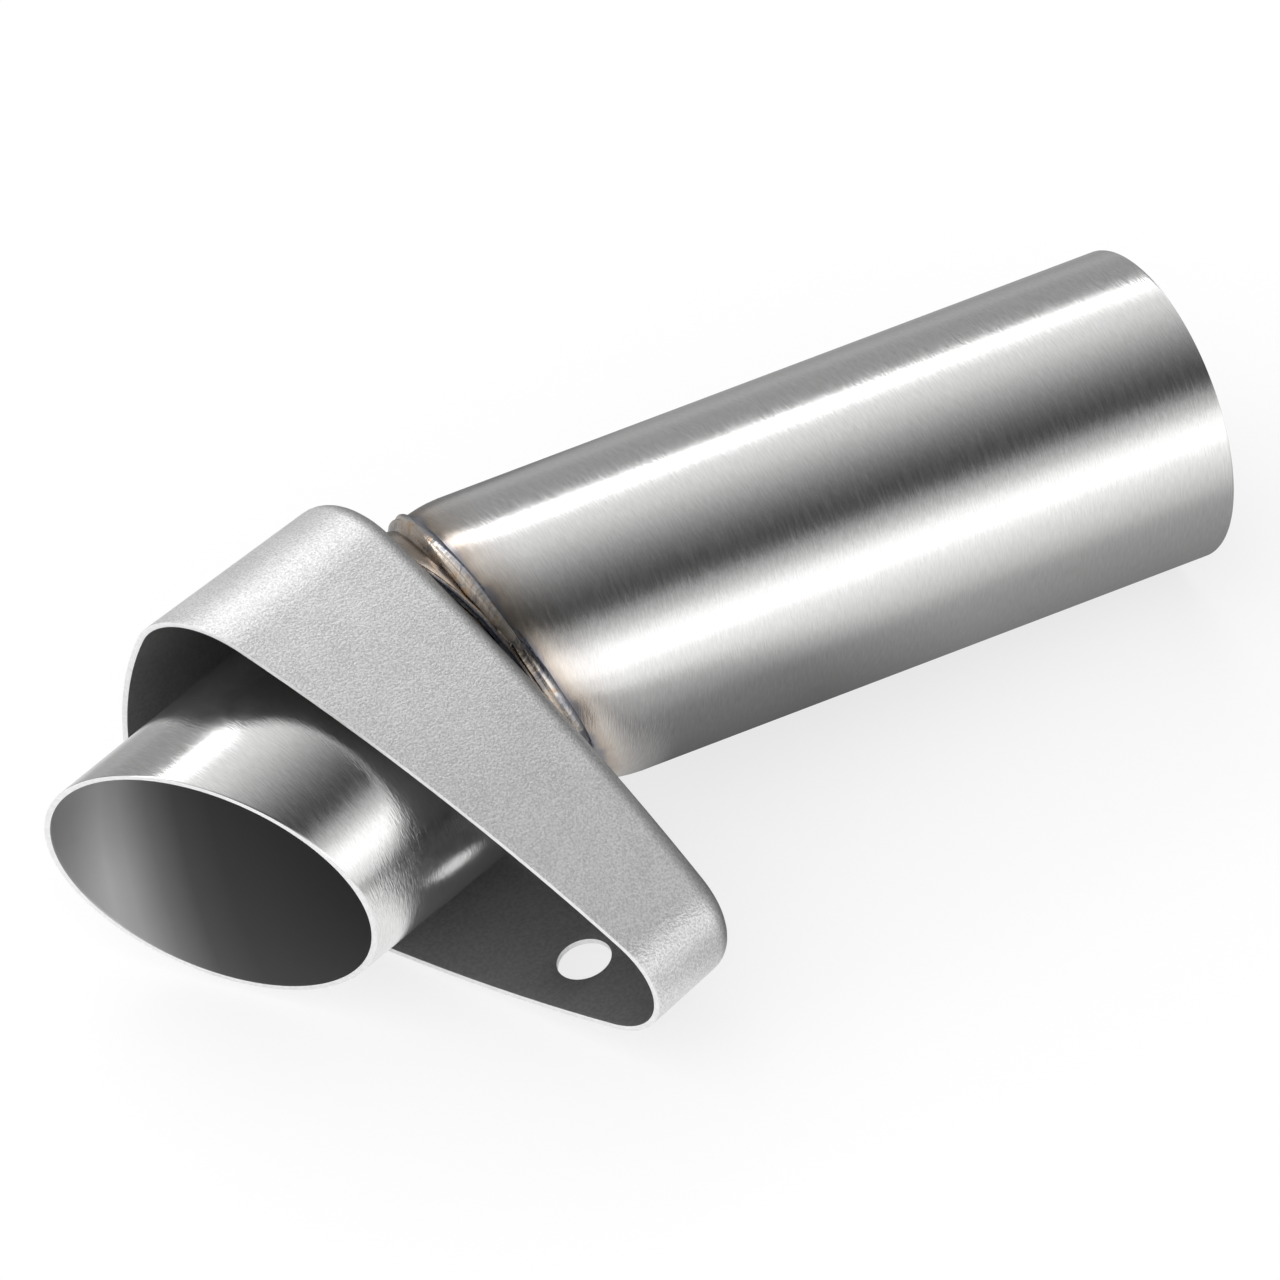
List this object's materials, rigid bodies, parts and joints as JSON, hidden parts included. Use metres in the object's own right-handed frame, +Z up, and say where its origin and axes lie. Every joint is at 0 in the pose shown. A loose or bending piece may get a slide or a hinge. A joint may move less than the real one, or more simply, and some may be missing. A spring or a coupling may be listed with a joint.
{
  "type": "exhaust baffle",
  "caption": "Removable silencer baffle: a straight tube welded at a bend to a short slant-cut outlet tube that passes through a deep teardrop end cup.",
  "frame": {"origin": "centre of the main tube's square-cut free end", "axes": "+Z up with the part lying as it rests, +X along the floor in the direction of the main tube's free end, +Y completes a right-handed frame"},
  "size_m": [0.1481, 0.0726, 0.0493],
  "materials": {
    "main_tube": "brushed round the tube, with a light heat tint by the weld",
    "outlet_tube": "brushed along the tube, with a heat tint between the cup and the joint",
    "end_cup": "matte, bead-blasted",
    "joint_weld": "rippled weld bead, straw and grey tints",
    "cup_weld": "rippled weld bead, straw and grey tints"
  },
  "bodies": {
    "root": {"main_tube": "main_tube", "outlet_tube": "outlet_tube", "end_cup": "end_cup", "joint_weld": "joint_weld", "cup_weld": "cup_weld"}
  },
  "joints": []
}
